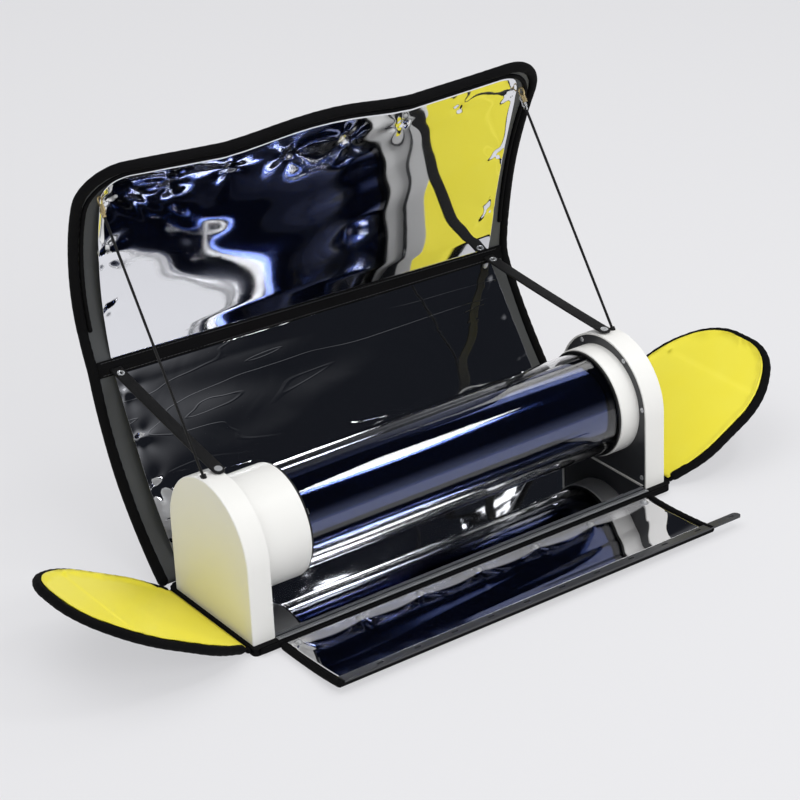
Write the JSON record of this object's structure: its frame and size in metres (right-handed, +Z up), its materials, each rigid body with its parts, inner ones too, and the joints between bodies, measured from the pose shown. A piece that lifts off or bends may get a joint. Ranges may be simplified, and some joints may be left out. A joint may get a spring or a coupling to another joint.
{
  "type": "portable solar grill",
  "caption": "Portable solar cooker: a glass vacuum tube with a food tray between two arched ends, on a soft base with a folding mirrored lid and flaps.",
  "frame": {"origin": "centre of the base board's underside, on the surface that it stands on", "axes": "+X along the tube towards the mouth where the tray goes in, +Y to the lid at the back, +Z up"},
  "size_m": [0.9908, 0.4525, 0.4869],
  "materials": {
    "white_shell": "matte white powder coat",
    "dark_plate": "dark grey semi-gloss",
    "mirror_sheet": "polished",
    "mirror_film": "metallised film",
    "clear_glass": "clear",
    "coated_glass": "selective coating, blue black",
    "black_fabric": "woven polyester",
    "yellow_fabric": "coated nylon",
    "webbing": "flat webbing",
    "cord": "braided",
    "rubber": "matte",
    "steel": "bright zinc",
    "tray_steel": "satin stainless",
    "insulation": "foam",
    "zip": "nylon coil"
  },
  "bodies": {
    "base": {"base_board": "black_fabric", "base_bolts": "steel", "trough_mirror": "mirror_sheet", "front_zip": "zip", "left_housing": "white_shell", "right_housing": "white_shell", "left_side_plate": "dark_plate", "right_side_plate": "dark_plate", "left_plate_seat": "white_shell", "right_plate_seat": "white_shell", "left_collar": "white_shell", "right_collar": "white_shell", "left_gasket": "rubber", "right_gasket": "rubber", "plate_screws": "steel", "glass_outer": "clear_glass", "glass_inner": "coated_glass", "tube_end_clip": "steel", "dome_cushion": "rubber", "mouth_seat": "rubber", "housing_rivets": "steel", "cord_anchors": "rubber", "left_stay_strap": "webbing", "right_stay_strap": "webbing", "left_stay_cord": "cord", "right_stay_cord": "cord", "fold_rivets": "steel"},
    "tray": {"food_tray": "tray_steel", "plug_core": "insulation", "tray_plug": "white_shell", "plug_seal": "rubber", "tray_handle": "steel"},
    "lid_lower": {"lower_panel": "black_fabric", "back_piping": "black_fabric", "lower_mirror": "mirror_film", "lower_left_binding": "black_fabric", "lower_right_binding": "black_fabric", "lower_eyelets": "steel", "fold_roll": "black_fabric"},
    "lid_upper": {"upper_panel": "black_fabric", "upper_mirror": "mirror_film", "upper_binding": "black_fabric", "upper_eyelets": "steel", "cord_clasps": "steel"},
    "front_flap": {"front_piping": "black_fabric", "front_panel": "black_fabric", "front_mirror": "mirror_film", "front_binding": "black_fabric", "front_bar": "dark_plate", "front_rivets": "steel"},
    "left_flap": {"left_piping": "black_fabric", "left_panel": "black_fabric", "left_lining": "yellow_fabric", "left_binding": "black_fabric"},
    "right_flap": {"right_piping": "black_fabric", "right_panel": "black_fabric", "right_lining": "yellow_fabric", "right_binding": "black_fabric"}
  },
  "joints": [
    {"name": "tray_slide", "type": "slide", "parent": "base", "child": "tray", "axis": [-1, 0, 0], "range_m": [-0.285, 0]},
    {"name": "lid_hinge", "type": "hinge", "parent": "base", "child": "lid_lower", "pos_m": [0, 0.0942, 0.0056], "axis": [1, 0, 0], "range_deg": [0, 32], "deforming": ["left_stay_strap", "right_stay_strap", "left_stay_cord", "right_stay_cord", "fold_rivets"]},
    {"name": "lid_fold", "type": "hinge", "parent": "lid_lower", "child": "lid_upper", "pos_m": [0, 0.22848, 0.21839], "axis": [0.9984, 0.0319, -0.0471], "range_deg": [0, 70]},
    {"name": "front_flap_hinge", "type": "hinge", "parent": "base", "child": "front_flap", "pos_m": [0, -0.0902, 0.0056], "axis": [-1, 0, 0], "range_deg": [0, 86]},
    {"name": "left_flap_hinge", "type": "hinge", "parent": "base", "child": "left_flap", "pos_m": [-0.2992, 0, 0.0056], "axis": [0, 1, 0], "range_deg": [-27, 44]},
    {"name": "right_flap_hinge", "type": "hinge", "parent": "base", "child": "right_flap", "pos_m": [0.2992, 0, 0.0056], "axis": [0, -1, 0], "range_deg": [-27, 0]}
  ],
  "couplings": [
    {"joint": "right_flap_hinge", "follows": "tray_slide", "rad_per_m": 1.6535}
  ]
}
